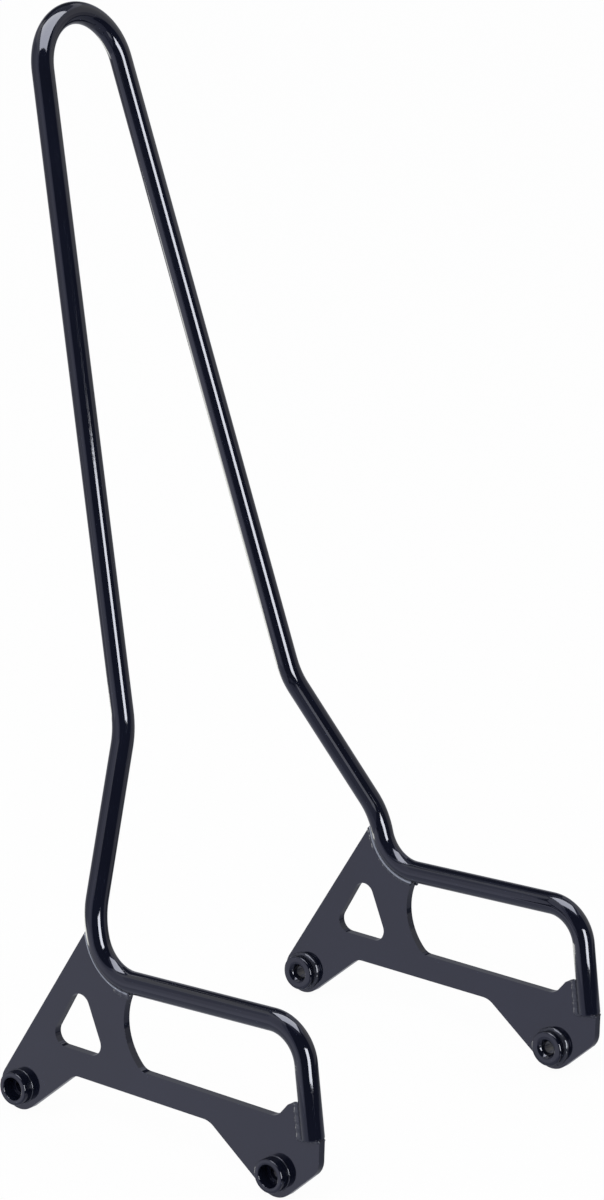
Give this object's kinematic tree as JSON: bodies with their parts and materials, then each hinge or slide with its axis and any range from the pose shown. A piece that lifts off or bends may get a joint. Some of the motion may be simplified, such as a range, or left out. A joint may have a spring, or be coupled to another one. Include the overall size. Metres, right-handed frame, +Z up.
{
  "type": "sissy bar",
  "caption": "Tall narrow hoop of bent round bar welded to bolt-on side plates, fixed behind a motorcycle seat as a back support.",
  "frame": {"origin": "midway between the four bolt axes of the bushings, on the plane of symmetry", "axes": "+X forward along the motorcycle, +Y to its left, +Z up; the front and rear bolt axes run along Y at height 0"},
  "size_m": [0.3068, 0.2714, 0.6018],
  "materials": {
    "black_coat": "gloss black powder coat"
  },
  "bodies": {
    "root": {"bar": "black_coat", "right_plate": "black_coat", "left_plate": "black_coat", "right_rear_bushing": "black_coat", "right_front_bushing": "black_coat", "left_rear_bushing": "black_coat", "left_front_bushing": "black_coat"}
  },
  "joints": []
}
